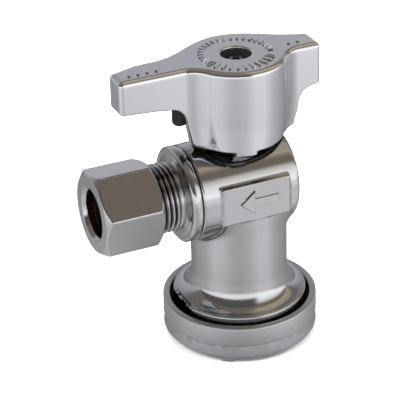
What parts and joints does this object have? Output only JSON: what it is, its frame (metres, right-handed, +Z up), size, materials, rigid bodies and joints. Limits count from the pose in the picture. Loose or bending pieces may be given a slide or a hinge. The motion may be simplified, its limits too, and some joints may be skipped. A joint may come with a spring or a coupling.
{
  "type": "angle stop valve",
  "caption": "Chromed quarter-turn angle stop valve with a lever handle, a push-on pipe inlet below and a threaded compression tube outlet to the side.",
  "frame": {"origin": "middle of the whole part's length and width, on the surface that the collar's feet stand on", "axes": "+Z up along the pipe inlet and the handle's stem, -X out of the tube outlet, the lever along X with the valve open"},
  "size_m": [0.0494, 0.0322, 0.063],
  "materials": {
    "chrome": "polished chrome plate on brass",
    "satin_chrome": "soft chrome plate on a die casting",
    "brass": "bare machined brass",
    "steel": "stainless steel, machined",
    "rubber": "black EPDM rubber",
    "ptfe": "white PTFE",
    "acetal": "grey acetal"
  },
  "bodies": {
    "valve": {"valve_body": "chrome", "outlet_adapter": "chrome", "adapter_o_ring": "rubber", "outlet_seat": "ptfe", "rear_seat": "ptfe", "inlet_o_ring": "rubber", "inlet_backup_ring": "acetal", "grab_ring": "steel", "inlet_retainer": "brass", "stem_thrust_washer": "ptfe"},
    "handle": {"lever_handle": "satin_chrome", "stop_pin": "rubber", "handle_screw": "steel", "handle_lock_washer": "steel", "valve_stem": "brass", "stem_o_ring_lower": "rubber", "stem_o_ring_upper": "rubber", "valve_ball": "chrome"},
    "collar": {"release_collar": "satin_chrome", "release_sleeve": "acetal"},
    "ferrule": {"compression_sleeve": "brass"},
    "nut": {"compression_nut": "chrome"}
  },
  "joints": [
    {"name": "handle_turn", "type": "hinge", "parent": "valve", "child": "handle", "pos_m": [0.0074, 0, 0.0343], "axis": [0, 0, 1], "range_deg": [-90, 0]},
    {"name": "collar_push", "type": "slide", "parent": "valve", "child": "collar", "axis": [0, 0, 1], "range_m": [0, 0.0012], "stiffness_N_per_m": 20000},
    {"name": "nut_advance", "type": "slide", "parent": "valve", "child": "ferrule", "axis": [-1, 0, 0], "range_m": [-0.0003, 0.0043]},
    {"name": "nut_turn", "type": "hinge", "parent": "ferrule", "child": "nut", "pos_m": [-0.0186, 0, 0.0343], "axis": [-1, 0, 0], "range_deg": [-90, 1440]}
  ],
  "couplings": [
    {"joint": "nut_advance", "follows": "nut_turn", "m_per_rad": 0.00016844}
  ]
}
